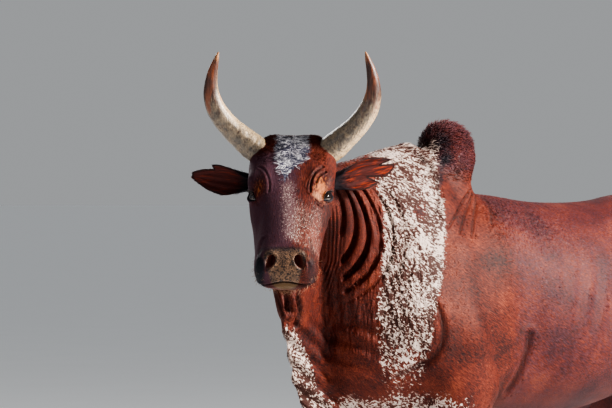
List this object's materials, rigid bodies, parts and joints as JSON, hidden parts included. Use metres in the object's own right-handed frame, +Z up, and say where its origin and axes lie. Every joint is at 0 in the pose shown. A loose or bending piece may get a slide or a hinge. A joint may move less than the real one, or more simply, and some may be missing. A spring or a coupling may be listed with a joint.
{
  "type": "zebu bull",
  "caption": "Life-size still model of a humped zebu bull with upswept horns and a hanging dewlap, standing with its head turned to its left.",
  "frame": {"origin": "on the ground, in the middle of the model's box", "axes": "+Z up, the bull faces -Y, its left side is +X"},
  "size_m": [0.6652, 2.0064, 1.6246],
  "materials": {
    "hide": "short glossy mahogany-red coat",
    "roan_hide": "short coat of mixed white and red-brown hair",
    "ear_hide": "short red-brown coat with dark edges",
    "horn": "fibrous worn horn, grey-brown with cream edges",
    "eye": "wet, almost black",
    "hoof": "dark worn horn with growth rings",
    "switch_hair": "long coarse blackish hair"
  },
  "bodies": {
    "root": {"head": "hide", "neck": "hide", "hump": "hide", "torso": "hide", "leg_front_left": "hide", "leg_front_right": "hide", "leg_hind_left": "hide", "leg_hind_right": "hide", "tail": "hide", "dewlap": "roan_hide", "ear_left": "ear_hide", "ear_right": "ear_hide", "horn_left": "horn", "horn_right": "horn", "eye_left": "eye", "eye_right": "eye", "hoof_front_left_inner": "hoof", "hoof_front_left_outer": "hoof", "hoof_front_right_inner": "hoof", "hoof_front_right_outer": "hoof", "hoof_hind_left_inner": "hoof", "hoof_hind_left_outer": "hoof", "hoof_hind_right_inner": "hoof", "hoof_hind_right_outer": "hoof", "tail_switch": "switch_hair"}
  },
  "joints": []
}
